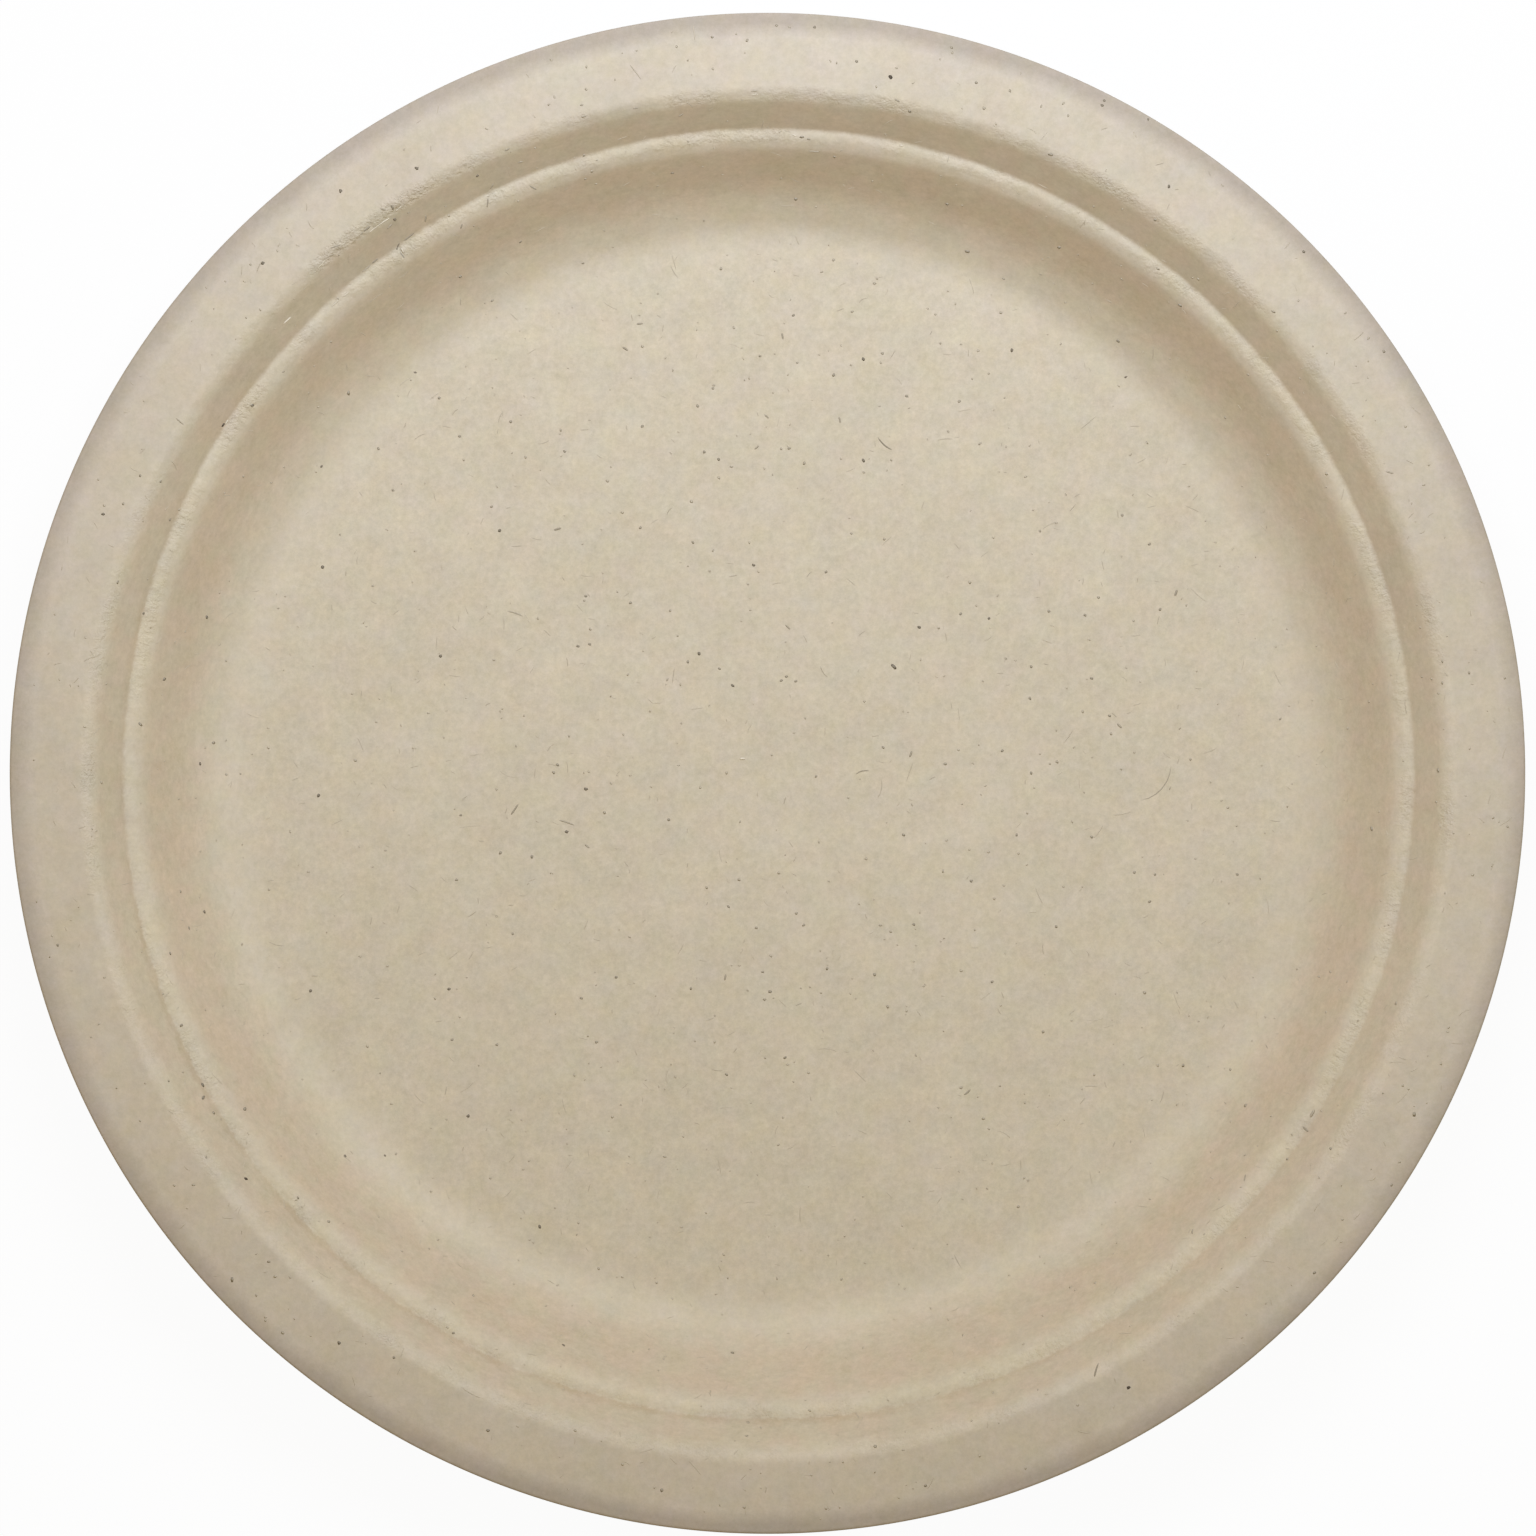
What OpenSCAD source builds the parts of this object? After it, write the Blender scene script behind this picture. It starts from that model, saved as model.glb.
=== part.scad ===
// Round paper plate, moulded in one piece from unbleached plant fibre.
//
// The wall has one thickness all over. It leaves the flat floor in a wide bend,
// climbs in two slopes to a narrow ledge, folds sharply upward there into a short
// second step and rolls over a shoulder into a wide, shallow-crowned rim, whose edge
// is trimmed square. Below the ledge and below the shoulder the wall eases off a
// little before it rolls over.
//
// Everything is round about Z. The origin is the centre of the floor's underside,
// which is the face that the plate rests on.

/* [Plate] */
// Outer diameter, over the trimmed edge
plate_d = 228; // [160:1:320]
// Thickness of the moulded wall
wall_t = 0.8; // [0.5:0.05:1.1]

/* [Well wall] */
// Width in plan of the lower slope, from the floor's corner
low_wall_w = 6.71; // [5:0.01:20]
// Slope of that lower part above the horizontal
low_wall_angle = 37; // [25:1:45]
// Width in plan of the steeper slope above it
high_wall_w = 5.66; // [4.5:0.01:15]
// Slope of the steeper part above the horizontal
high_wall_angle = 50; // [46:1:56]
// Radius of the upper face where the floor turns into the wall
floor_bend_r = 7; // [2:0.5:10]
// Radius of the upper face where the wall grows steeper
wall_bend_r = 25; // [5:1:30]

/* [Crests] */
// Width in plan of the strip below the ledge and below the shoulder that eases off
crest_w = 1.65; // [1.5:0.05:4]
// Angle by which that strip is less steep than the wall below it
crest_ease_angle = 12; // [4:1:16]
// Radius of the upper face where the strip starts
crest_bend_r = 5; // [2:0.5:7]

/* [Ledge and step] */
// Width in plan of the narrow ledge, from the crest to the crease
ledge_w = 1.25; // [1.2:0.05:6]
// Rise of the ledge above the horizontal, toward the crease
ledge_angle = 8; // [4:1:20]
// Radius of the upper face where the crest rolls over onto the ledge
ledge_bend_r = 2.6; // [1.5:0.1:2.8]
// Radius of the upper face in the crease at the foot of the step
crease_r = 0.9; // [0.2:0.05:1.1]
// Width in plan of the step, from the crease to the crest
step_w = 3.94; // [3:0.01:12]
// Slope of the step above the horizontal
step_angle = 49; // [36:1:56]

/* [Rim] */
// Radius of the upper face over the shoulder
shoulder_r = 2.6; // [1.5:0.1:3.5]
// Width in plan of the rim, from the shoulder's corner to the trimmed edge
rim_w = 11.22; // [9:0.01:28]
// Mean fall of the rim toward its edge, below the horizontal
rim_fall_angle = 2; // [0:0.5:8]
// Angle that the rim turns through across its width, as a shallow crown
rim_crown_angle = 3; // [1:0.5:6]

/* [Hidden] */

// Segments in a full turn
$fn = 180;
// Width by which an arc overlaps the straight face that it runs into
hair = 0.002;

fibre = [0.78, 0.73, 0.64];

// Slopes of the rim's inner half and of its outer half
rim_in_angle = rim_crown_angle / 2 - rim_fall_angle;
rim_out_angle = -rim_crown_angle / 2 - rim_fall_angle;

// Radius at which the step starts, and of the floor out to the wall's corner
step_start = plate_d / 2 - rim_w - crest_w - step_w;
floor_w = step_start - ledge_w - crest_w - high_wall_w - low_wall_w;

// Radius of the rim's crown, which takes up half of the rim's width
crown_r = rim_w / 4 / tan(rim_crown_angle / 2);

// The upper face as straight runs from the centre outward: width in plan, slope
runs = [
    [floor_w, 0],
    [low_wall_w, low_wall_angle],
    [high_wall_w, high_wall_angle],
    [crest_w, high_wall_angle - crest_ease_angle],
    [ledge_w, ledge_angle],
    [step_w, step_angle],
    [crest_w, step_angle - crest_ease_angle],
    [rim_w / 2, rim_in_angle],
    [rim_w / 2, rim_out_angle]
];

// Radius of the upper face at the corner that ends each run but the last
bend_radii = [
    floor_bend_r,
    wall_bend_r,
    crest_bend_r,
    ledge_bend_r,
    crease_r,
    crest_bend_r,
    shoulder_r,
    crown_r
];

last_run = len(runs) - 1;

// Slope of run i, and the direction square to a face of slope a, out of its upper side
function slope(i) = runs[i][1];
function up(a) = [-sin(a), cos(a)];

// Corner of the upper face at which run i starts
function corner(i) = i == 0
    ? [0, wall_t]
    : corner(i - 1) + runs[i - 1][0] * [1, tan(slope(i - 1))];

// Angle that the wall turns through after run i, positive where it turns upward
function turn(i) = slope(i + 1) - slope(i);

// Mean slope at bend i
function mid_slope(i) = (slope(i) + slope(i + 1)) / 2;

// Radii of bend i on the face nearer to its centre and on the face farther from it.
// The centre of a bend that turns upward is above the plate, and that of one that
// turns downward is under it.
function side(i) = sign(turn(i));
function near_r(i) = min(bend_radii[i], bend_radii[i] + side(i) * wall_t);
function far_r(i) = near_r(i) + wall_t;

// Point at distance r from the centre of bend i, in line with its corners
function on_bisector(i, r) = corner(i + 1)
    + side(i) * (bend_radii[i] / cos(turn(i) / 2) - r) * up(mid_slope(i));
function centre(i) = on_bisector(i, 0);

// Corner of the lower face under the corner of the upper face at which run i starts
function lower_corner(i) = i == 0
    ? [0, 0]
    : corner(i) - wall_t / cos(turn(i - 1) / 2) * up(mid_slope(i - 1));

// The wall with sharp corners, trimmed square across at the edge
module sharp_wall() {
    polygon(concat(
        [for (i = [0:last_run]) lower_corner(i)],
        [corner(last_run + 1) - wall_t * up(slope(last_run)), corner(last_run + 1)],
        [for (i = [last_run:-1:0]) corner(i)]
    ));
}

// What lies between the arc of radius r at bend i and a tip on the bend's bisector.
// The arc is a hair wider than r, so that it crosses the straight faces cleanly.
module web(i, r, tip) {
    low = min(slope(i), slope(i + 1));
    high = max(slope(i), slope(i + 1));
    difference() {
        polygon([
            centre(i),
            centre(i) - side(i) * r * up(low),
            on_bisector(i, tip / cos(turn(i) / 2)),
            centre(i) - side(i) * r * up(high)
        ]);
        translate(centre(i))
            circle(r = r + hair);
    }
}

// Half of the plate's section, from the axis to the edge: each bend is filled on its
// inner side and rounded off on its outer side
module section() {
    difference() {
        union() {
            sharp_wall();
            for (i = [0:last_run - 1])
                web(i, near_r(i), far_r(i));
        }
        for (i = [0:last_run - 1])
            web(i, far_r(i), far_r(i) + wall_t);
    }
}

module plate() {
    color(fibre)
        rotate_extrude()
            section();
}

plate();
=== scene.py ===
# %% [markdown]
# # A moulded-fibre paper plate
#
# A plate like this is sucked out of a vat of wet plant fibre onto a wire screen and
# pressed dry between two heated tools. It is one wall of even thickness, so the whole
# lesson is about bending one section well and then giving a plain beige surface the
# small faults that make it look like pulp and not like plastic.
#
# The first cell loads the exact solid that this model is dressed around. The finished
# plate must have the same size.

# %% Load the frame
import math

import bpy
import numpy as np
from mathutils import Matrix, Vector


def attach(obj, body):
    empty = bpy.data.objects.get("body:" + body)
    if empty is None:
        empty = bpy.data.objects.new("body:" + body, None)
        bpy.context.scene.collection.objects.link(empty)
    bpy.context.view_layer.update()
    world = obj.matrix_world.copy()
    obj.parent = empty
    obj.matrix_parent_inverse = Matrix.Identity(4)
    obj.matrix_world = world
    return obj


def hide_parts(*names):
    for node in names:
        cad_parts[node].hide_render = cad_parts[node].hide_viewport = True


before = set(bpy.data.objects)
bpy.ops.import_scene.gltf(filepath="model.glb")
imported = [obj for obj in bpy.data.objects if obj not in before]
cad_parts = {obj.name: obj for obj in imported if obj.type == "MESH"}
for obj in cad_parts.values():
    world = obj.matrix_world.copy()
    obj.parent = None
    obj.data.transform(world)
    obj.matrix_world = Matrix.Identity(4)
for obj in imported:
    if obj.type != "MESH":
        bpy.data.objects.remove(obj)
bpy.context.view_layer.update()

# %% [markdown]
# ## Sizes
#
# Every size is in millimetres, as a maker would write it, and is turned into metres
# once, when the mesh is filled. The upper face is given as straight runs from the
# centre outward, each with its width in plan and its slope, and a bend radius at each
# corner. This is the same list that the solid is made from.

# %% Sizes of the plate
MM = 0.001
PLATE_R = 114.0
WALL_T = 0.8
RIM_W, RIM_FALL, RIM_CROWN = 11.22, 2, 3
CROWN_R = RIM_W / 4 / math.tan(math.radians(RIM_CROWN / 2))
RIM_IN, RIM_OUT = RIM_CROWN / 2 - RIM_FALL, -RIM_CROWN / 2 - RIM_FALL
CREST_W, CREST_EASE = 1.65, 12
WALL_SLOPE, STEP_SLOPE = 50, 49

OUTER_RUNS = [
    (6.71, 37),
    (5.66, WALL_SLOPE),
    (CREST_W, WALL_SLOPE - CREST_EASE),
    (1.25, 8),
    (3.94, STEP_SLOPE),
    (CREST_W, STEP_SLOPE - CREST_EASE),
    (RIM_W / 2, RIM_IN),
    (RIM_W / 2, RIM_OUT),
]
FLOOR_W = PLATE_R - sum(width for width, slope in OUTER_RUNS)
RUNS = [(FLOOR_W, 0)] + OUTER_RUNS
BEND_RADII = [7, 25, 5, 2.6, 0.9, 5, 2.6, CROWN_R]
print("floor out to its corner", round(FLOOR_W, 2), "mm")

# %% [markdown]
# ## The section
#
# Walk outward over the upper face and watch only the slope under your feet. On a
# straight run it stays the same, and round a bend it changes evenly with the distance
# walked, because that is what a circle is. So the slope is one broken line over the
# distance walked, and the section follows by adding up small steps in its direction.
# A profile drawn by hand with curve handles would do too, but its bends would not be
# true arcs, and the wall could not be moved in or out by its thickness so simply.

# %% Slope against distance walked
def slope_line(runs, radii):
    """Distance walked and slope in radians at each end of each straight run.

    A bend of radius R that turns by T takes R * tan(T / 2) off the runs on both of
    its sides, and is itself R * T long.
    """
    slopes = np.radians([slope for width, slope in runs])
    lengths = np.array([width for width, slope in runs]) / np.cos(slopes)
    turns = np.abs(np.diff(slopes))
    cut = np.array(radii) * np.tan(turns / 2)
    straight = lengths - np.append(cut, 0) - np.append(0, cut)
    ends = np.cumsum(straight + np.append(0, np.array(radii) * turns))
    starts = ends - straight
    walked = np.stack([starts, ends], axis=1).ravel()
    return walked, np.repeat(slopes, 2)


WALKED, SLOPES = slope_line(RUNS, BEND_RADII)
TOTAL = WALKED[-1]

fine = np.linspace(0, TOTAL, 40001)
fine_slope = np.interp(fine, WALKED, SLOPES)
step = fine[1] - fine[0]
mid_slope = (fine_slope[1:] + fine_slope[:-1]) / 2
fine_r = np.append(0, np.cumsum(np.cos(mid_slope)) * step)
fine_z = WALL_T + np.append(0, np.cumsum(np.sin(mid_slope)) * step)
print("walked", round(TOTAL, 2), "mm, to radius", round(fine_r[-1], 3),
      "mm, highest point", round(fine_z.max(), 3), "mm")


def section(walk):
    """Radius, height and slope of the upper face at each distance walked."""
    return (
        np.interp(walk, fine, fine_r),
        np.interp(walk, fine, fine_z),
        np.interp(walk, fine, fine_slope),
    )


def walk_to(radius):
    """Distance walked over the upper face to each radius."""
    return np.interp(radius, fine_r, fine)


# %% [markdown]
# ## The camera
#
# The photograph looks straight down on the plate, so the camera does too, with the
# top of the picture toward +Y. A long lens from 1.5 m keeps the walls from leaning.
# The field is worked out from the scale of the picture at the height of the trimmed
# edge, which draws the outline, and the camera stands a little off centre, as the
# plate does in the picture.

# %% Camera
PICTURE_PX = 1536
PX_PER_MM = 6.6611
CAMERA_ABOVE = 1500.0
OUTLINE_Z = 19.3
CAMERA_X, CAMERA_Y = -0.102, 0.885
SENSOR = 36.0

camera_data = bpy.data.cameras.new("camera")
camera_data.sensor_width = SENSOR
camera_data.lens = SENSOR * CAMERA_ABOVE / (PICTURE_PX / PX_PER_MM)
camera_data.clip_start = 0.1
camera_data.clip_end = 20
camera = bpy.data.objects.new("camera", camera_data)
camera.location = (CAMERA_X * MM, CAMERA_Y * MM, (CAMERA_ABOVE + OUTLINE_Z) * MM)
bpy.context.scene.collection.objects.link(camera)
bpy.context.scene.camera = camera
print("lens", round(camera_data.lens, 1), "mm")

# %% [markdown]
# ## What keeps the plate from being perfect
#
# The trimming knife sits a little off the tools' axis, so the outline is not quite
# round and not quite centred on the well. The wet wall also sags a little and the
# ledge's crest wanders, because fibre does not fill a narrow corner evenly. Each of
# these is a sum of a few waves with seeded phases, small enough to be felt in the
# shading and not seen as a shape.

# %% Trim and wander
TRIM_X, TRIM_Y = -0.177, 0.083
TRIM_OVAL = 0.206
TRIM_FROM, TRIM_TO = 104.0, PLATE_R - 3

dice = np.random.default_rng(7)


def ease(value, start, end):
    """0 before start, 1 after end, and between them 3t^2 - 2t^3."""
    t = np.clip((value - start) / (end - start), 0, 1)
    return t * t * (3 - 2 * t)


class Waves:
    """Plane waves in all directions over the plate, with lengths from short to long."""

    def __init__(self, short, long, size, count=28):
        way = dice.uniform(0, np.pi, count)
        length = np.exp(dice.uniform(math.log(short), math.log(long), count))
        self.kx = 2 * np.pi * np.cos(way) / length
        self.ky = 2 * np.pi * np.sin(way) / length
        self.phase = dice.uniform(0, 2 * np.pi, count)
        self.height = size * math.sqrt(2 / count)

    def __call__(self, x, y):
        """Height at each point: the sum of the cosines of k . p + phase."""
        total = np.zeros(np.shape(x))
        for kx, ky, phase in zip(self.kx, self.ky, self.phase):
            total += np.cos(kx * x + ky * y + phase)
        return total * self.height


# shortest wave, longest wave and height, in mm
SAG = Waves(60, 200, 0.05)
UNEVEN = Waves(9, 40, 0.012)
LUMPS = Waves(1.9, 7, 0.045)
TORN_ROUGH = Waves(0.8, 2.4, 0.035)
CREST_R, SHOULDER_R = 96.0, 102.3


def near(radius, middle, reach):
    """A bell over the radius: 1 in the middle and small beyond its reach."""
    return np.exp(-(((radius - middle) / reach) ** 2))


# %% [markdown]
# ## Torn fibre on the shoulder
#
# At the upper left the shoulder is rough: the wet wall stuck to the tool there and a
# few flakes stand up, and just inside them a short crack crosses the ledge. A flake
# is a long low mound that rises gently from one side and drops steeply on the other.
# A crack is a narrow groove. Both are added to the height of the surface, so they are
# real relief and catch the light by themselves.

# %% Flakes and the crack
# middle as angle in degrees and radius, half length, half width, height, turn
FLAKES = [
    (124.4, 101.6, 1.3, 0.30, 0.15, -6),
    (125.9, 101.5, 0.8, 0.30, 0.11, 10),
    (127.3, 101.9, 1.0, 0.32, 0.11, -8),
    (129.2, 102.2, 1.2, 0.30, 0.09, 5),
    (131.6, 102.2, 1.6, 0.30, 0.06, 0),
    (122.9, 102.0, 0.8, 0.28, 0.08, 12),
]
# middle as angle and radius, half width, half length, depth, turn
CRACK = (125.15, 96.2, 0.17, 1.3, 0.36, 6)
TORN_MIDDLE, TORN_HALF = 127.0, 6.0
ROUGH_FULL, ROUGH_END = TORN_HALF * 0.5, TORN_HALF * 0.85
ROUGH_R, ROUGH_REACH = SHOULDER_R - 0.6, 1.1


def across(angle, radius, middle_angle, middle_radius, turn):
    """Distances along and across a mark, turned by turn from the plate's tangent."""
    along = np.radians(angle - middle_angle) * middle_radius
    out = radius - middle_radius
    c, s = math.cos(math.radians(turn)), math.sin(math.radians(turn))
    return along * c + out * s, out * c - along * s


def torn_height(angle, radius):
    """Height of the torn fibre: short waves fade out round the torn patch, each
    flake is a bell along its length times a saw across its width, and the crack is
    a bell-shaped groove cut off at its ends."""
    from_middle = np.abs(angle - TORN_MIDDLE)
    patch = 1 - ease(from_middle, ROUGH_FULL, ROUGH_END)
    way = np.radians(angle)
    total = TORN_ROUGH(radius * np.cos(way), radius * np.sin(way))
    total = total * patch * near(radius, ROUGH_R, ROUGH_REACH)
    for middle_angle, middle_radius, half_l, half_w, high, turn in FLAKES:
        u, v = across(angle, radius, middle_angle, middle_radius, turn)
        saw = ease(v, -half_w, -half_w * 0.5) * (1 - ease(v, -half_w * 0.5, half_w * 2))
        total += high * np.exp(-((u / half_l) ** 2) * 1.5) * saw
    middle_angle, middle_radius, half_w, half_l, deep, turn = CRACK
    u, v = across(angle, radius, middle_angle, middle_radius, turn)
    length = ease(v, -half_l, -half_l * 0.3) * (1 - ease(v, half_l * 0.3, half_l))
    total -= deep * np.exp(-((u / half_w) ** 2)) * length
    return total


# %% [markdown]
# ## The plate's surface as one function
#
# Everything that stands on the plate, such as a speck of bark, has to know where the
# surface is. So the surface is one function of the distance walked, the angle round
# the plate and the depth below the upper face. At depth 0 it is the upper face, and
# at the wall's thickness it is the underside.

# %% Surface function
CREST_WAVES = (5, 9, 14, 22, 31, 47, 64, 90, 121)
CREST_PHASES = dice.uniform(0, 2 * np.pi, len(CREST_WAVES))
CREST_HEIGHTS = dice.normal(size=len(CREST_WAVES)) * 0.03
# how far the lumps reach from the crest and the shoulder, and the wander from the crest
CREST_REACH, SHOULDER_REACH, WANDER_REACH = 1.3, 1.5, 1.8
# the unevenness fades out from here toward the pole, and only the raised part sags
CALM_OUT_TO = 12
SAG_FROM, SAG_TO = 78, 100


def crest_shift(angle):
    """How far the ledge's crest lies outside its circle at each angle in radians."""
    turns = np.asarray(angle)[..., None] * np.array(CREST_WAVES) + CREST_PHASES
    return (np.cos(turns) * CREST_HEIGHTS).sum(axis=-1)


def plate_surface(walk, angle, depth=0.0, lift=0.0):
    """Points in mm. The section's point is moved down its own normal by depth and up
    it by lift and relief, then out by the crest's wander and by the trim's oval, and
    is turned round Z by the angle."""
    radius, height, slope = section(walk)
    x, y = radius * np.cos(angle), radius * np.sin(angle)
    upper = 1 - np.clip(depth / WALL_T, 0, 1)
    relief = UNEVEN(x, y) * ease(radius, 0, CALM_OUT_TO)
    edges = near(radius, CREST_R, CREST_REACH) + near(radius, SHOULDER_R, SHOULDER_REACH)
    relief = relief + edges * LUMPS(x, y)
    relief = relief + upper * torn_height(np.degrees(angle) % 360, radius)
    move = relief + lift - depth
    shift = near(radius, CREST_R, WANDER_REACH) * crest_shift(angle)
    out = radius - np.sin(slope) * move + shift
    up = height + np.cos(slope) * move
    raised = ease(radius, SAG_FROM, SAG_TO)
    up = up + SAG(x, y) * raised
    trimmed = ease(radius, TRIM_FROM, TRIM_TO)
    out = out - trimmed * TRIM_OVAL * np.cos(2 * angle)
    return np.stack([
        out * np.cos(angle) + trimmed * TRIM_X,
        out * np.sin(angle) + trimmed * TRIM_Y,
        up,
    ], axis=-1)


# %% [markdown]
# ## The grid
#
# Rows of the grid run round the plate and columns run outward. Rows are close where
# the section bends sharply and far apart on the flat floor, and columns are close
# only at the torn place. One column of distances goes out over the upper face, round
# the trimmed edge and back over the underside, so the shell is closed, and the
# two poles are single points.

# %% Rows and columns
def spaced(stops):
    """Distances from a list of (radius, spacing up to the next radius)."""
    parts = []
    for (start, gap), (end, _) in zip(stops[:-1], stops[1:]):
        a, b = walk_to(start), walk_to(end)
        parts.append(np.linspace(a, b, max(1, round((b - a) / gap)), endpoint=False))
    return np.append(np.concatenate(parts), TOTAL)


UPPER_STOPS = [
    (0, 4.2), (72, 1.6), (79, 0.9), (93.7, 0.4), (95.1, 0.3), (96.7, 0.18),
    (97.6, 0.55), (100.4, 0.36), (103.8, 1.3), (110.5, 0.6), (PLATE_R, 0),
]
LOWER_STOPS = [
    (0, 7.5), (75, 2.2), (84, 2.0), (93.5, 0.6), (98.5, 0.9), (104, 2.4),
    (111.5, 1.2), (PLATE_R, 0),
]
TOP_ROUND, FOOT_ROUND = 0.35, 0.12
upper_walk = spaced(UPPER_STOPS)[1:-1]
lower_walk = spaced(LOWER_STOPS)[-2:0:-1]
turn = np.radians([0, 30, 60, 90])
row_walk = np.concatenate([
    upper_walk,
    TOTAL - TOP_ROUND + TOP_ROUND * np.sin(turn),
    TOTAL - FOOT_ROUND + FOOT_ROUND * np.cos(turn),
    lower_walk,
])
row_depth = np.concatenate([
    upper_walk * 0,
    TOP_ROUND - TOP_ROUND * np.cos(turn),
    WALL_T - FOOT_ROUND + FOOT_ROUND * np.sin(turn),
    lower_walk * 0 + WALL_T,
])

COARSE_COLUMNS, TORN_COLUMNS = 620, 92
coarse = np.linspace(0, 360, COARSE_COLUMNS, endpoint=False)
coarse = coarse[np.abs(coarse - TORN_MIDDLE) > TORN_HALF]
close = np.linspace(TORN_MIDDLE - TORN_HALF, TORN_MIDDLE + TORN_HALF, TORN_COLUMNS)
column_angle = np.radians(np.sort(np.concatenate([coarse, close])))
print("rows", len(row_walk), "columns", len(column_angle),
      "triangles", 2 * len(row_walk) * len(column_angle))


# %% [markdown]
# The grid's points are all worked out at once. Faces are squares between neighbouring
# rows and columns, the last column joins the first, and each pole gets a fan.

# %% Mesh maker
def grid_faces(rows, columns):
    """Corner numbers of the squares of a grid whose columns close round."""
    row = np.arange(rows - 1)[:, None] * columns
    column = np.arange(columns)[None, :]
    after = (column + 1) % columns
    squares = np.stack([row + column, row + columns + column,
                        row + columns + after, row + after], axis=-1)
    return squares.reshape(-1, 4)


def make_object(name, points, faces):
    """A mesh object at the origin with smooth faces, from points in mm."""
    mesh = bpy.data.meshes.new(name)
    mesh.from_pydata((points * MM).tolist(), [], faces)
    mesh.polygons.foreach_set("use_smooth", np.ones(len(mesh.polygons), bool))
    mesh.update()
    made = bpy.data.objects.new(name, mesh)
    bpy.context.scene.collection.objects.link(made)
    return made


def give_attribute(made, name, values):
    """Stores one number for each point of the mesh, for a material to read."""
    attribute = made.data.attributes.new(name, "FLOAT", "POINT")
    attribute.data.foreach_set("value", np.asarray(values, np.float32))


# %% [markdown]
# One call of the surface function gives the whole shell. Two numbers go with each
# point for the material: whether it lies on the screen's side, and its ring's radius.

# %% The plate
grid = plate_surface(row_walk[:, None], column_angle[None, :], row_depth[:, None])
centre_top = plate_surface(np.array(0.0), np.array(0.0))
centre_under = centre_top - (0, 0, WALL_T)

rows, columns = grid.shape[:2]
points = np.concatenate([grid.reshape(-1, 3), [centre_top], [centre_under]])
top_pole, under_pole = rows * columns, rows * columns + 1
around = np.arange(columns)
after = (around + 1) % columns
last = (rows - 1) * columns
fans = np.concatenate([
    np.stack([np.full(columns, top_pole), around, after], axis=1),
    np.stack([np.full(columns, under_pole), last + after, last + around], axis=1),
])
faces = grid_faces(rows, columns).tolist() + fans.tolist()
plate = make_object("moulded_plate", points, faces)

screen_side = np.concatenate([
    np.repeat(ease(row_depth, WALL_T * 0.6, WALL_T), columns), [0, 1]])
give_attribute(plate, "screen_side", screen_side)

ring_radius = np.append(np.repeat(section(row_walk)[0], columns), [0, 0])
give_attribute(plate, "ring_radius", ring_radius)
print("plate", [round(v, 2) for v in points.min(0)], [round(v, 2) for v in points.max(0)])

# %% [markdown]
# ## Specks of bark
#
# Unbleached pulp still holds tiny bits of bark and knot. Each is a flat lens about
# half a millimetre across, pressed into the face so that only a few hundredths of a
# millimetre stand proud. They are laid on the surface function, so they follow the
# wall wherever they fall. The noted ones are placed one by one, at places read
# in enlarged views of the photograph. The rest are scattered and all of them are faint,
# fewer of them large and dark than small and pale.

# %% Where the specks lie
# Kinds of speck that the eye tells apart: length, width, darkness from 0 to 1
CLEAR_KIND = (0.58, 0.46, 0.62)
BOLD_KIND = (0.66, 0.52, 0.9)
WIDE_KIND = (1.0, 0.5, 0.6)

# x, y of each, read in enlarged views of the photograph
CLEAR_SPECKS = [
    (-10.6, 18.3), (-2.3, 31.7), (-5.5, 13.4), (33.5, 23.6), (22.9, 22.3), (-27.8, -2.3),
    (-30.7, -8.8), (-85.1, 23.7), (-67.8, 31.4), (-49.9, 17.9), (-68.4, -3.3),
    (-85.5, -20.9), (-86.2, 1.5), (-69.6, -33), (-48.6, -32.7), (-52.8, 90.9),
    (-64.1, 87.4), (-43.8, 89.9), (-75.8, 76.6), (-53.7, 61), (-77.8, 55.5),
    (-67.9, 46.7), (-40.9, 37), (-99.9, 39), (60.1, 88.1), (54.3, 60.3), (37, 64.4),
    (14.4, 63), (14.4, 47.6), (-45.7, -52), (-34.8, -68.8), (-64.4, -85.4), (-64.2, -58),
    (-58.3, -58), (-31, -86.3),
]
BOLD_SPECKS = [
    (18.3, 104.5), (-78.6, -60.9), (54.1, -92.1),
]
WIDE_SPECKS = [
    (19, 16.3),
]

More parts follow.
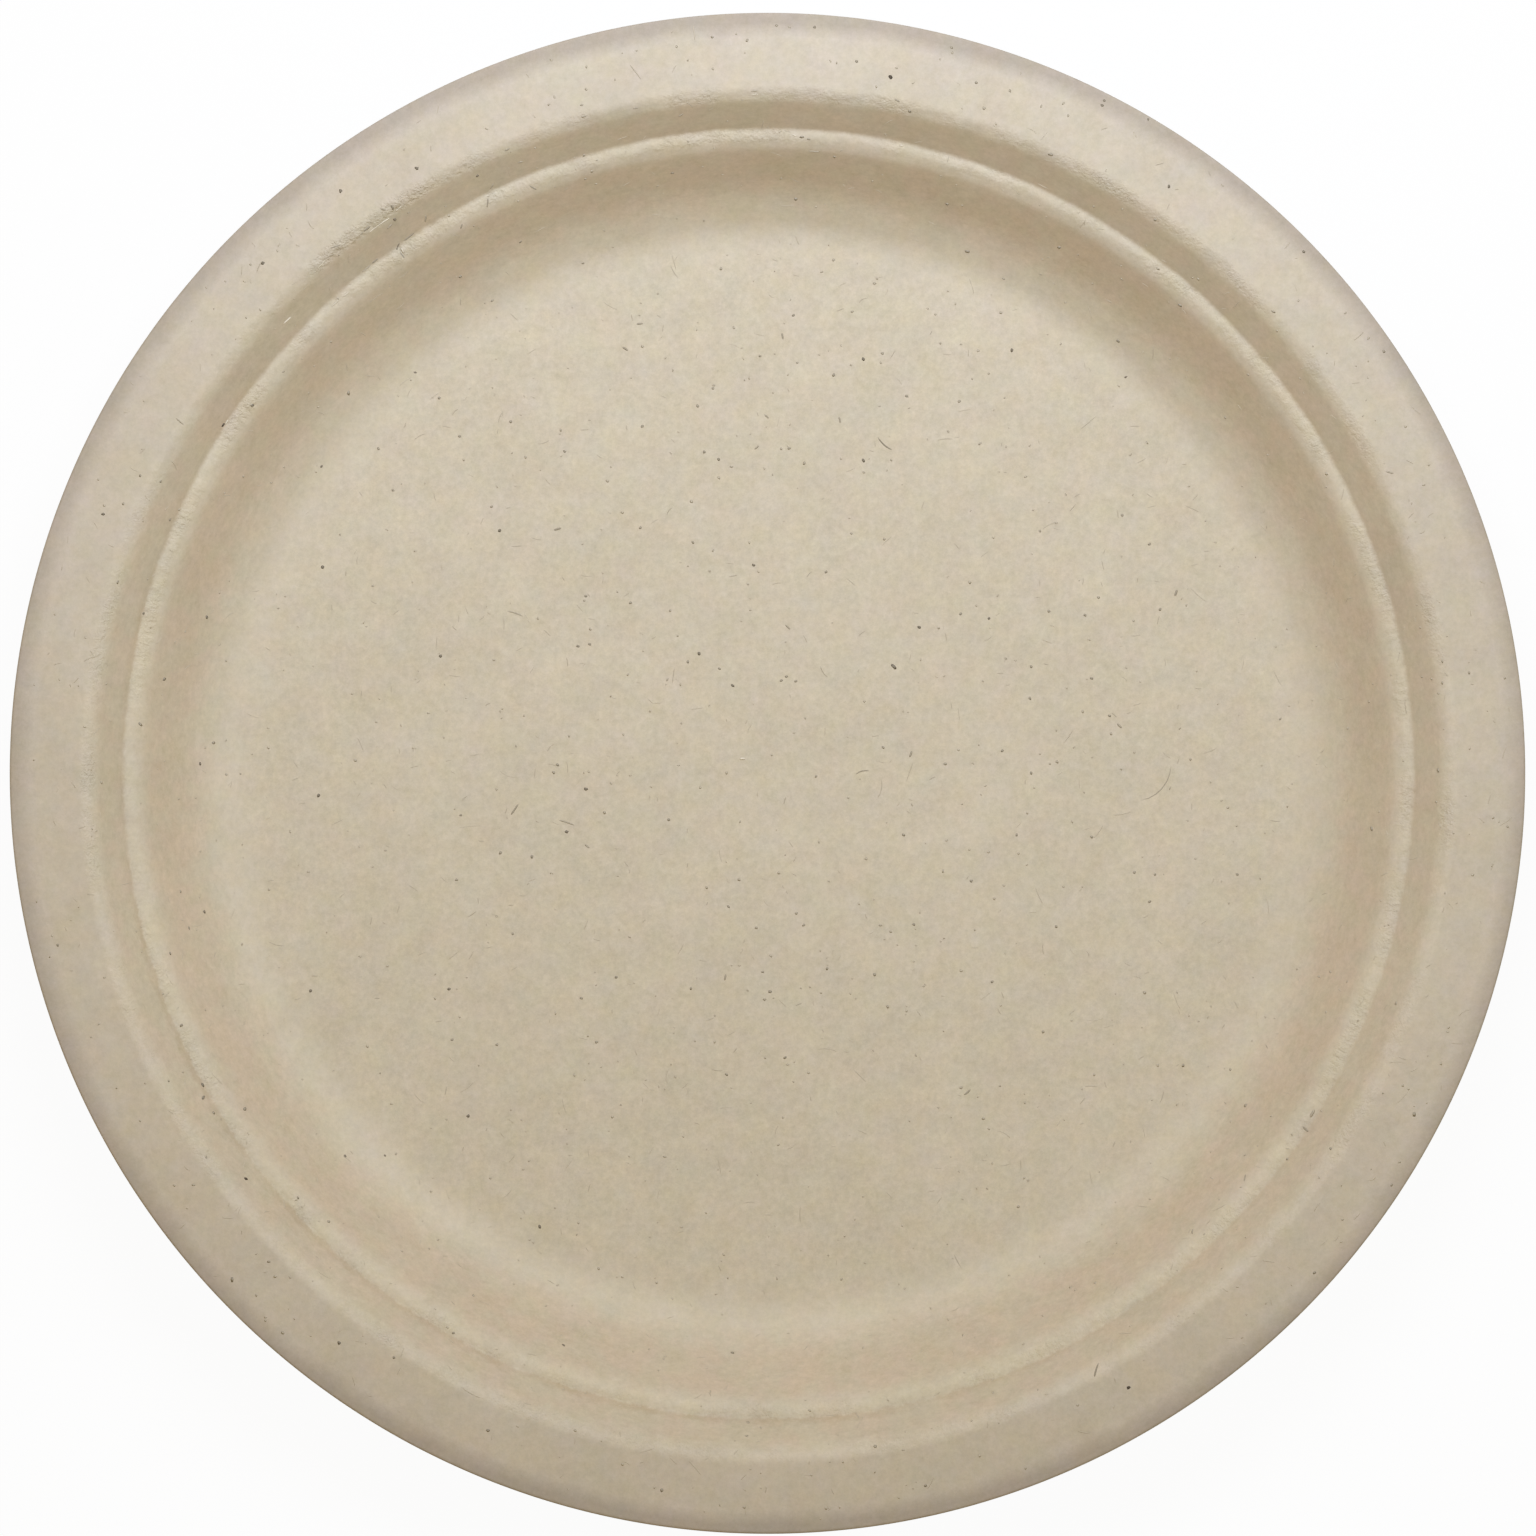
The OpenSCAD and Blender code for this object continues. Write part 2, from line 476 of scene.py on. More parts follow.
# angle round the plate in degrees, radius, length, width, turn from the tangent, darkness
WALL_SPECKS = [
    (147.4, 97.5, 0.8, 0.42, 0, 0.9), (165.6, 97.2, 0.5, 0.36, 0, 0.6),
    (157.0, 97.9, 0.5, 0.36, 20, 0.45), (175.5, 95.0, 0.9, 0.4, 60, 0.3),
    (163.6, 101.9, 0.5, 0.36, 0, 0.35), (99.1, 91.9, 0.6, 0.36, 0, 0.4),
    (115.0, 88.9, 0.7, 0.36, 30, 0.4), (171.1, 92.4, 0.75, 0.5, -60, 0.45),
    (261.6, 108.6, 0.6, 0.46, 80, 0.36), (246.9, 107.1, 0.5, 0.42, 20, 0.38),
    (237.3, 104.1, 0.5, 0.42, 20, 0.42), (223.4, 110.6, 0.9, 0.4, -40, 0.42),
    (224.3, 104.8, 0.5, 0.36, 60, 0.35), (212.6, 93.8, 0.75, 0.5, 90, 0.36),
    (209.8, 98.1, 0.9, 0.4, -70, 0.5), (208.8, 97.3, 0.7, 0.45, 10, 0.6),
    (214.3, 102.2, 0.5, 0.36, -40, 0.4), (207.1, 101.2, 0.4, 0.36, 0, 0.35),
    (193.6, 109.8, 0.5, 0.36, 10, 0.4), (194.9, 90.7, 0.5, 0.34, 0, 0.4),
    (191.3, 90.7, 0.5, 0.34, 0, 0.35), (266.4, 87.9, 0.6, 0.36, 0, 0.4),
    (240.6, 96.6, 0.5, 0.36, 40, 0.35), (222.0, 95.5, 0.5, 0.36, -20, 0.4),
    (203.2, 96.4, 0.5, 0.4, 80, 0.45), (196.7, 94.2, 0.5, 0.36, 0, 0.4),
    (211.4, 97.9, 0.5, 0.45, 0, 0.35), (225.5, 94.6, 0.5, 0.45, 0, 0.25),
    (229.1, 111.1, 0.6, 0.4, 0, 0.2), (282.5, 109.3, 0.5, 0.42, 0, 0.35),
    (279.0, 102.2, 0.6, 0.5, 0, 0.25), (317.6, 111.2, 0.5, 0.42, 0, 0.4),
    (332.2, 109.8, 0.8, 0.5, 30, 0.3), (326.3, 101.4, 0.5, 0.45, 0, 0.35),
    (323.4, 97.3, 0.5, 0.4, 0, 0.3), (325.2, 88.0, 0.6, 0.5, 0, 0.25),
    (326.6, 112.3, 0.5, 0.3, 0, 0.3), (0.3, 100.6, 0.7, 0.5, 0, 0.22),
    (339.9, 100.4, 0.6, 0.4, 0, 0.2), (354.8, 91.5, 0.7, 0.5, 20, 0.25),
    (8.2, 106.3, 0.5, 0.4, 0, 0.25), (9.5, 102.5, 0.5, 0.35, 0, 0.25),
    (7.7, 102.0, 0.5, 0.35, 0, 0.25), (44.2, 112.3, 0.5, 0.44, 0, 0.55),
    (34.4, 112.2, 0.5, 0.4, 0, 0.3), (63.4, 112.8, 0.5, 0.35, 20, 0.5),
    (63.4, 112.0, 0.5, 0.35, 0, 0.5), (59.8, 113.5, 0.4, 0.3, 0, 0.5),
    (55.1, 101.4, 0.5, 0.5, 0, 0.3), (48.7, 94.0, 0.8, 0.5, 0, 0.3),
    (61.1, 90.9, 0.6, 0.55, 0, 0.35), (42.5, 102.7, 0.8, 0.35, 20, 0.22),
    (52.4, 96.2, 0.6, 0.3, 0, 0.2), (86.4, 112.0, 0.5, 0.4, 0, 0.45),
    (89.3, 112.0, 0.5, 0.35, 0, 0.25), (75.8, 112.2, 0.6, 0.4, 0, 0.25),
    (73.2, 108.2, 0.5, 0.36, 0, 0.3), (82.9, 107.6, 0.5, 0.4, 0, 0.4),
    (94.3, 110.6, 0.5, 0.36, 0, 0.3), (65.5, 102.2, 0.8, 0.5, 10, 0.3),
    (78.0, 101.7, 0.6, 0.5, 0, 0.4), (87.0, 96.1, 0.8, 0.38, 10, 0.35),
    (86.4, 95.8, 0.5, 0.3, 0, 0.3), (83.9, 93.6, 0.5, 0.45, 0, 0.25),
    (72.6, 90.3, 0.6, 0.5, 0, 0.3), (105.6, 104.2, 0.5, 0.36, 0, 0.25),
    (137.8, 86.0, 0.9, 0.5, 60, 0.3), (121.8, 88.6, 0.6, 0.5, 0, 0.3),
    (120.3, 83.2, 0.6, 0.4, 0, 0.25), (154.6, 104.4, 0.45, 0.36, 0, 0.3),
    (157.3, 105.0, 0.5, 0.36, 0, 0.25), (154.3, 101.3, 0.5, 0.5, 0, 0.3),
    (64.6, 83.2, 0.5, 0.45, 0, 0.3), (69.2, 84.8, 0.8, 0.5, 20, 0.35),
    (51.1, 84.4, 0.6, 0.5, 0, 0.45), (87.3, 87.2, 0.6, 0.5, 90, 0.3),
    (176.8, 84.4, 0.6, 0.5, 90, 0.35), (180.0, 80.3, 0.45, 0.4, 0, 0.35),
]

# The small round ones have one size. Each is drawn a little paler than it was noted.
SMALL_LENGTH, SMALL_WIDTH, SMALL_SHARE = 0.5, 0.4, 0.74
# x, y, darkness
SMALL_SPECKS = [
    (-19.5, 37.4, 0.4), (-27.8, 27.0, 0.5), (-21.0, 26.0, 0.45), (-29.0, 19.4, 0.55),
    (-27.2, 19.7, 0.5), (-12.3, 17.0, 0.45), (-7.5, 16.0, 0.45), (1.9, 14.2, 0.4),
    (2.7, 14.8, 0.5), (4.1, 14.1, 0.4), (-32.1, 1.4, 0.45), (-32.7, 0.2, 0.4),
    (7.2, -0.4, 0.35), (17.4, 4.0, 0.4), (8.7, 30.7, 0.45), (-11.5, 35.2, 0.4),
    (57.9, 34.9, 0.5), (41.2, 36.9, 0.3), (53.7, 39.3, 0.3), (48.1, 24.1, 0.45),
    (42.6, 24.7, 0.35), (29.2, 24.3, 0.45), (39.9, 16.3, 0.4), (49.1, 14.5, 0.5),
    (39.7, 11.5, 0.45), (51.8, 8.8, 0.5), (35.5, 3.5, 0.5), (39.9, 0.1, 0.55),
    (59.5, 25.0, 0.4), (50.1, 26.8, 0.25), (26.8, 1.5, 0.3), (64.1, 2.2, 0.25),
    (-46.8, -6.3, 0.45), (-36.0, -12.6, 0.5), (-40.8, -12.0, 0.4), (-15.2, -7.0, 0.5),
    (-6.1, -20.2, 0.5), (-9.4, -17.3, 0.25), (4.2, -21.2, 0.3), (5.3, -23.0, 0.4),
    (-1.9, -23.4, 0.3), (-38.9, -24.3, 0.35), (-23.2, -30.9, 0.55), (-28.5, -34.1, 0.45),
    (-11.8, -32.6, 0.45), (-0.9, -30.1, 0.45), (0.2, -33.1, 0.5), (-0.6, -34.3, 0.4),
    (8.9, -29.6, 0.45), (-26.2, -40.8, 0.4), (-41.3, -41.2, 0.35), (2.5, -43.1, 0.55),
    (-6.4, -45.7, 0.5), (-47.4, -16.1, 0.35), (-48.1, -40.4, 0.4), (20.5, -9.3, 0.5),
    (37.7, -9.3, 0.5), (49.1, -9.6, 0.35), (30.8, -16.3, 0.5), (55.6, -15.0, 0.4),
    (58.7, -15.3, 0.35), (57.9, -19.4, 0.4), (22.1, -22.9, 0.5), (43.7, -23.2, 0.4),
    (16.1, -30.5, 0.4), (34.0, -31.6, 0.4), (41.7, -39.2, 0.4), (18.1, -35.4, 0.3),
    (63.0, -44.3, 0.35), (70.1, -44.9, 0.4), (71.2, -15.3, 0.45), (-28.2, 77.6, 0.4),
    (3.8, 69.7, 0.5), (-1.3, 63.5, 0.4), (9.9, 60.6, 0.45), (17.3, 63.9, 0.3),
    (21.0, 57.4, 0.4), (-10.8, 55.9, 0.4), (-8.5, 58.6, 0.3), (-19.2, 52.8, 0.45),
    (-31.0, 49.0, 0.5), (-9.8, 48.9, 0.5), (-7.6, 47.8, 0.6), (5.4, 47.2, 0.35),
    (3.1, 49.5, 0.3), (-42.1, 40.6, 0.35), (-59.3, 49.4, 0.4), (-57.1, 43.1, 0.4),
    (-50.1, 57.1, 0.45), (-47.0, 51.3, 0.4), (-39.2, 53.5, 0.45),
]

# Turn in degrees for each mm of x, so that neighbours don't all lie one way
TURN_BY_X = 7
UPPER_SPECK_COUNT, UNDER_SPECK_COUNT = 1100, 900

def specks_of(places, length, width, dark):
    """Specks of one size at the places given. The darkness is one for all or a list."""
    x, y = np.array(places).T
    same = np.ones(len(x))
    return np.stack(
        [x, y, same * length, same * width, x * TURN_BY_X, same * dark], axis=1)


def from_polar(rows):
    """Marks noted by angle and radius, as marks with x, y and a turn from +X."""
    angle, radius, length, width, turn, dark = np.array(rows).T
    way = np.radians(angle)
    return np.stack([radius * np.cos(way), radius * np.sin(way), length, width,
                     angle - 90 + turn, dark], axis=1)


def scatter(count, out_to=112.0):
    """Points spread evenly over the plate's disc: the radius goes with a root."""
    radius = out_to * np.sqrt(dice.uniform(0, 1, count))
    angle = dice.uniform(0, 2 * np.pi, count)
    return radius * np.cos(angle), radius * np.sin(angle)


def scattered_specks(count):
    """Random specks. Darkness falls off steeply, and a faint speck is smaller."""
    x, y = scatter(count)
    dark = np.clip(0.04 + dice.exponential(0.04, count), 0, 0.2)
    length = dice.uniform(0.22, 0.46, count) * (1 + 1.2 * dark)
    width = length * dice.uniform(0.45, 0.9, count)
    return np.stack([x, y, length, width, dice.uniform(0, 180, count), dark], axis=1)


small = np.array(SMALL_SPECKS)
UPPER_SPECKS = np.concatenate([
    specks_of(CLEAR_SPECKS, *CLEAR_KIND),
    specks_of(BOLD_SPECKS, *BOLD_KIND),
    specks_of(WIDE_SPECKS, *WIDE_KIND),
    from_polar(WALL_SPECKS),
    specks_of(small[:, :2], SMALL_LENGTH, SMALL_WIDTH, small[:, 2] * SMALL_SHARE),
    scattered_specks(UPPER_SPECK_COUNT),
])
UNDER_SPECKS = scattered_specks(UNDER_SPECK_COUNT)

# %% [markdown]
# A lens has a ring of points on the surface, one point above and one point below, all
# found in one call of the surface function. Its own length and width are laid along
# the wall and round it, so a speck on a slope is not stretched.

# %% Lay the specks on the plate
SPECK_SIDES = 8
SPECK_RISE = 0.035
RIM_LIFT = 0.004
SPECK_WOBBLE = 0.16


def lay_specks(specks, side):
    """Points and faces of lenses on the upper side (0) or the underside (1)."""
    x, y, length, width, turn, dark = specks.T
    at_angle, at_walk = np.arctan2(y, x), walk_to(np.hypot(x, y))
    at_radius = np.maximum(np.hypot(x, y), 0.5)
    way = np.radians(turn) - at_angle
    ring = np.arange(SPECK_SIDES) * 2 * np.pi / SPECK_SIDES
    wobble = 1 + SPECK_WOBBLE * dice.normal(size=(len(x), SPECK_SIDES)).clip(-1.5, 1.5)
    a = length[:, None] / 2 * np.cos(ring) * wobble
    b = width[:, None] / 2 * np.sin(ring) * wobble
    u = a * np.cos(way)[:, None] - b * np.sin(way)[:, None]
    v = a * np.sin(way)[:, None] + b * np.cos(way)[:, None]
    depth = WALL_T * side
    out = -1 if side else 1
    rims = plate_surface(at_walk[:, None] + u, at_angle[:, None] + v / at_radius[:, None],
                         depth, out * RIM_LIFT)
    tops = plate_surface(at_walk, at_angle, depth, out * SPECK_RISE)
    feet = plate_surface(at_walk, at_angle, depth, -out * SPECK_RISE * 2)
    points = np.concatenate([rims, tops[:, None], feet[:, None]], axis=1)
    start = np.arange(len(x))[:, None] * (SPECK_SIDES + 2)
    around = np.arange(SPECK_SIDES)
    after = (around + 1) % SPECK_SIDES
    top = np.stack([start + around, start + after,
                    np.broadcast_to(start + SPECK_SIDES, (len(x), SPECK_SIDES))], -1)
    foot = np.stack([start + after, start + around,
                     np.broadcast_to(start + SPECK_SIDES + 1, (len(x), SPECK_SIDES))], -1)
    faces = np.concatenate([top.reshape(-1, 3), foot.reshape(-1, 3)])
    if side:
        faces = faces[:, ::-1]
    return points.reshape(-1, 3), faces, np.repeat(dark, SPECK_SIDES + 2)


def join_parts(parts):
    """One list of points, of faces and of numbers from several."""
    offset = 0
    all_points, all_faces, all_values = [], [], []
    for points, faces, values in parts:
        all_points.append(points)
        all_faces.append(faces + offset)
        all_values.append(values)
        offset += len(points)
    return np.concatenate(all_points), np.concatenate(all_faces), np.concatenate(all_values)


speck_points, speck_faces, speck_dark = join_parts(
    [lay_specks(UPPER_SPECKS, 0), lay_specks(UNDER_SPECKS, 1)])
specks = make_object("bark_specks", speck_points, speck_faces.tolist())
give_attribute(specks, "darkness", speck_dark)
print("specks", len(UPPER_SPECKS) + len(UNDER_SPECKS), "triangles", len(speck_faces))

# %% [markdown]
# ## Loose fibres
#
# Single fibres lie in the face at all angles, half a millimetre to a few long and a
# tenth or two wide, some straight and some curled. Most are only a shade darker than
# the pulp, and a few are paler than it. The noted ones were read in the same way.

# %% Where the fibres lie
# x, y, length, width, turn in degrees, curl in degrees, darkness (under 0 is paler)
NOTED_FIBRES = [
    (-72.4, 68.2, 1.6, 0.3, 40, 8, -0.9), (14.2, 0.3, 2.2, 0.18, 20, -60, 0.35),
    (2.9, 22.3, 1, 0.24, 135, 8, 0.3), (-4, 2.3, 0.8, 0.4, 0, 0, -0.8),
    (-32.1, 37.2, 1.2, 0.3, 15, 8, 0.4), (-38.5, 24.4, 2.5, 0.2, 160, 20, 0.2),
    (59.4, -1.9, 7.5, 0.14, -125, -70, 0.3), (61.9, 27.5, 1, 0.34, 70, 6, 0.4),
    (53.3, 7.3, 1, 0.3, 135, 6, 0.3), (21.6, 3, 1, 0.28, 70, 6, 0.35),
    (-38.6, -5.4, 2, 0.26, 55, 8, 0.4), (-30.7, -7.4, 2.5, 0.24, 160, 20, 0.25),
    (-27.6, -11, 0.9, 0.26, 140, 6, 0.3), (-6.6, -30.9, 1, 0.28, 80, 6, 0.3),
    (30.2, -48.4, 1.3, 0.28, 40, 6, 0.35), (2.1, 66.5, 1, 0.26, 100, 6, 0.4),
    (-21.8, 64.6, 1, 0.3, 145, 6, 0.4), (-19.6, 68.4, 1, 0.26, 5, 6, 0.35),
    (10.8, 53.8, 1, 0.24, 100, 6, 0.3), (-0.3, 54.3, 0.9, 0.24, 140, 6, 0.3),
    (-1.8, 49.6, 0.9, 0.24, 40, 6, 0.3), (17.6, 50.1, 2.9, 0.22, -45, 40, 0.5),
]

# Slivers all round the plate, most of them at the torn place. Their columns are the
# angle in degrees, radius, length, width, turn from the tangent and darkness.
SLIVER_CURL = 6
SLIVERS = [
    (131.3, 101.8, 1.8, 0.20, 3, -0.6), (130.2, 101.9, 1.1, 0.16, -8, 0.3),
    (129.4, 102.5, 1.8, 0.16, -20, 0.35), (128.5, 97.3, 1.8, 0.2, 0, 0.25),
    (127.5, 97.4, 1.2, 0.3, 4, 0.45), (127.0, 101.6, 0.7, 0.26, 10, 0.4),
    (126.4, 101.7, 1.3, 0.34, 0, 0.5), (125.9, 101.1, 2.2, 0.2, 2, -0.6),
    (125.1, 97.2, 1.2, 0.24, 35, 0.6), (125.0, 96.3, 0.9, 0.3, 80, -0.6),
    (125.2, 95.8, 1.5, 0.26, 86, 0.4), (124.9, 101.1, 2.2, 0.22, -3, -0.7),
    (124.7, 100.1, 1.1, 0.3, 15, 0.3), (124.0, 100.5, 0.7, 0.46, 80, 0.6),
    (123.8, 97.4, 1.9, 0.28, 5, 0.45), (123.6, 102.1, 1.0, 0.28, 80, 0.5),
    (124.3, 102.6, 0.9, 0.24, -50, 0.35), (123.2, 101.5, 1.4, 0.2, 10, -0.4),
    (132.6, 96.4, 1.7, 0.22, 2, -0.4), (131.4, 96.3, 1.3, 0.22, -6, -0.4),
    (121.7, 98.3, 1.4, 0.3, 60, 0.25), (119.3, 94.7, 0.9, 0.26, 50, 0.35),
    (116.2, 95.8, 1.5, 0.2, 60, 0.35), (115.2, 97.8, 1.2, 0.24, 45, 0.25),
    (112.7, 101.6, 0.9, 0.28, 5, 0.35), (112.1, 99.3, 0.8, 0.28, -10, 0.3),
    (111.9, 95.2, 1.4, 0.22, -58, 0.4), (105.7, 102.5, 0.9, 0.28, -5, 0.3),
    (101.3, 101.9, 0.8, 0.26, 0, 0.3), (97.6, 99.9, 0.9, 0.24, 30, 0.25),
    (147.0, 97.3, 0.9, 0.3, 0, -0.7), (149.1, 103.0, 1.5, 0.2, 80, 0.25),
    (298.8, 102.1, 2.3, 0.26, 47, 0.45), (326.5, 97.0, 1.3, 0.3, 80, 0.4),
    (328.0, 96.6, 1.3, 0.4, 0, 0.2), (312.8, 94.0, 0.9, 0.26, 50, 0.3),
    (319.7, 94.2, 1.2, 0.26, 35, 0.3), (25.9, 103.6, 1.2, 0.24, 50, 0.25),
    (79.2, 102.9, 0.9, 0.26, -20, 0.35), (91.2, 102.0, 1.2, 0.22, 0, -0.6),
    (91.2, 102.5, 1.0, 0.26, 5, 0.25), (87.7, 96.3, 0.7, 0.26, -15, -0.5),
    (78.1, 96.7, 0.6, 0.26, 0, -0.5), (85.8, 94.1, 1.8, 0.26, 0, 0.2),
]

UPPER_FIBRE_COUNT, UNDER_FIBRE_COUNT = 900, 420


def scattered_fibres(count):
    """Random fibres, most of them faint, short and nearly straight."""
    x, y = scatter(count)
    length = np.clip(dice.lognormal(math.log(1.1), 0.45, count), 0.5, 3.6)
    width = dice.uniform(0.08, 0.14, count)
    curl = dice.normal(0, 25, count)
    dark = np.clip(0.02 + dice.exponential(0.045, count), 0, 0.22)
    pale = dice.uniform(0, 1, count) < 0.14
    dark = np.where(pale, -dark * 1.6, dark)
    return np.stack(
        [x, y, length, width, dice.uniform(0, 180, count), curl, dark], axis=1)


UPPER_FIBRES = np.concatenate([
    np.array(NOTED_FIBRES),
    np.insert(from_polar(SLIVERS), 5, SLIVER_CURL, axis=1),
    scattered_fibres(UPPER_FIBRE_COUNT),
])
UNDER_FIBRES = scattered_fibres(UNDER_FIBRE_COUNT)

# %% [markdown]
# Each fibre is a thin rod carried along an arc, with pointed ends, half sunk into the
# wall. A rod has four sides and is about half as thick as it is wide.

# %% Lay the fibres on the plate
FIBRE_STATIONS = 7
FIBRE_SIDES = 4
FIBRE_FLATNESS = 0.45
FIBRE_LIFT = 0.006


def lay_fibres(fibres, side):
    """Points and faces of rods. The middle line is an arc: its direction turns evenly
    from -curl/2 to +curl/2, and the points follow by adding up the steps."""
    x, y, length, width, turn, curl, dark = fibres.T
    at_angle, at_walk = np.arctan2(y, x), walk_to(np.hypot(x, y))
    at_radius = np.maximum(np.hypot(x, y), 0.5)
    share = np.linspace(-0.5, 0.5, FIBRE_STATIONS)
    way = (np.radians(turn) - at_angle)[:, None] + np.radians(curl)[:, None] * share
    gap = length[:, None] / (FIBRE_STATIONS - 1)
    u = np.cumsum(np.cos(way), axis=1) * gap
    v = np.cumsum(np.sin(way), axis=1) * gap
    u, v = u - u.mean(1, keepdims=True), v - v.mean(1, keepdims=True)
    thick = np.sqrt(np.clip(1 - (2 * share) ** 4, 0.02, 1)) * width[:, None] / 2
    ring = np.arange(FIBRE_SIDES) * 2 * np.pi / FIBRE_SIDES
    aside = thick[..., None] * np.cos(ring)
    up = thick[..., None] * np.sin(ring) * FIBRE_FLATNESS
    across_u = -np.sin(way)[..., None] * aside
    across_v = np.cos(way)[..., None] * aside
    depth = WALL_T * side
    out = -1 if side else 1
    points = plate_surface(
        at_walk[:, None, None] + u[..., None] + across_u,
        at_angle[:, None, None] + (v[..., None] + across_v) / at_radius[:, None, None],
        depth, out * (up + FIBRE_LIFT))
    per_fibre = FIBRE_STATIONS * FIBRE_SIDES
    start = np.arange(len(x))[:, None, None] * per_fibre
    squares = (np.arange(FIBRE_STATIONS - 1)[:, None] * FIBRE_SIDES)[None]
    a = np.arange(FIBRE_SIDES)
    b = (a + 1) % FIBRE_SIDES
    rods = np.stack([start + squares + a, start + squares + FIBRE_SIDES + a,
                     start + squares + FIBRE_SIDES + b, start + squares + b], axis=-1)
    last = start[:, :, 0] + (FIBRE_STATIONS - 1) * FIBRE_SIDES
    first_cap = start[:, :, 0] + np.arange(FIBRE_SIDES)
    last_cap = last + np.arange(FIBRE_SIDES)[::-1]
    faces = np.concatenate([rods.reshape(-1, 4), first_cap, last_cap])
    if side:
        faces = faces[:, ::-1]
    return points.reshape(-1, 3), faces, np.repeat(dark, per_fibre)


fibre_points, fibre_faces, fibre_dark = join_parts(
    [lay_fibres(UPPER_FIBRES, 0), lay_fibres(UNDER_FIBRES, 1)])
fibres = make_object("loose_fibres", fibre_points, fibre_faces.tolist())
give_attribute(fibres, "darkness", fibre_dark)
print("fibres", len(UPPER_FIBRES) + len(UNDER_FIBRES), "squares", len(fibre_faces))

# %% [markdown]
# ## Writing shader maths
#
# A material is a small formula that is worked out at each point of the surface. It is
# easier to read as a formula than as boxes and lines, so one small class holds a
# socket and turns + - * / into Math nodes, and one method adds any other node.

# %% Shader helpers
class Value:
    """A number that varies over the surface, written like an ordinary number."""

    def __init__(self, tree, socket):
        self.tree = tree
        self.socket = socket

    def maths(self, operation, *others):
        """A Math node of this value and others."""
        return self.tree.add("ShaderNodeMath", {"operation": operation},
                             dict(enumerate((self, *others))))

    def __add__(self, other):
        return self.maths("ADD", other)

    def __radd__(self, other):
        return self.maths("ADD", other)

    def __sub__(self, other):
        return self.maths("SUBTRACT", other)

    def __rsub__(self, other):
        return self.maths("MULTIPLY_ADD", -1, other)

    def __mul__(self, other):
        return self.maths("MULTIPLY", other)

    def __rmul__(self, other):
        return self.maths("MULTIPLY", other)

    def __truediv__(self, other):
        return self.maths("DIVIDE", other)

    def ease(self, start, end):
        """0 at start, 1 at end, eased between them and flat beyond."""
        return self.tree.add(
            "ShaderNodeMapRange", {"interpolation_type": "SMOOTHSTEP"},
            {"Value": self, "From Min": start, "From Max": end})


class Tree:
    """The node tree of a material, or of the world."""

    def __init__(self, owner):
        self.owner = owner
        owner.use_nodes = True
        self.nodes = owner.node_tree.nodes
        self.links = owner.node_tree.links
        self.nodes.clear()

    def add(self, kind, settings=None, sockets=None, output=0):
        """Adds a node: its settings first, then each socket's number or link."""
        node = self.nodes.new(kind)
        for name, setting in (settings or {}).items():
            setattr(node, name, setting)
        for name, given in (sockets or {}).items():
            if isinstance(given, Value):
                self.links.new(given.socket, node.inputs[name])
            else:
                node.inputs[name].default_value = given
        return Value(self, node.outputs[output])

    def place(self):
        """Object coordinates in millimetres."""
        metres = self.add("ShaderNodeTexCoord", output="Object")
        return self.add("ShaderNodeVectorMath", {"operation": "SCALE"},
                        {0: metres, "Scale": 1 / MM})

    def noise(self, place, size, detail=2.0, rough=0.5, move=0.0):
        """Smooth noise from -1 to 1, or a little less, with features of a size in mm."""
        moved = place
        if move:
            moved = self.add("ShaderNodeVectorMath", {"operation": "ADD"},
                             {0: place, 1: (move, -move, move * 0.7)})
        raw = self.add("ShaderNodeTexNoise", {"noise_dimensions": "3D"},
                       {"Vector": moved, "Scale": 1 / size, "Detail": detail,
                        "Roughness": rough})
        return raw * 2 - 1

    def colour(self, first, second, share):
        """A mix of two colours by a share from 0 to 1."""
        return self.add("ShaderNodeMix", {"data_type": "RGBA"},
                        {"Factor": share, 6: first, 7: second}, output=2)

    def multiplied(self, first, second):
        """Two colours multiplied."""
        return self.add("ShaderNodeVectorMath", {"operation": "MULTIPLY"},
                        {0: first, 1: second})

    def finish(self, colour, roughness, normal=None, constants=None):
        """Ends the tree in a Principled surface."""
        sockets = {"Base Color": colour, "Roughness": roughness}
        sockets.update(constants or {})
        if normal is not None:
            sockets["Normal"] = normal
        surface = self.add("ShaderNodeBsdfPrincipled", {}, sockets)
        self.add_output(surface, "ShaderNodeOutputMaterial")
        return self.owner

    def add_output(self, surface, kind):
        """Links a surface to an output node of a kind."""
        output = self.nodes.new(kind)
        self.links.new(surface.socket, output.inputs["Surface"])

    def seen(self):
        """1 for what is seen straight on, in a reflection or through glass."""
        rays = ("Is Camera Ray", "Is Glossy Ray", "Is Transmission Ray")
        camera, glossy, through = (self.add("ShaderNodeLightPath", output=r) for r in rays)
        return camera.maths("MAXIMUM", glossy).maths("MAXIMUM", through)


def linear(red, green, blue):
    """A colour as read from a picture (0 to 255) in the renderer's own linear units."""
    share = np.array([red, green, blue]) / 255
    low = share / 12.92
    high = ((share + 0.055) / 1.055) ** 2.4
    return (*np.where(share <= 0.04045, low, high).tolist(), 1.0)
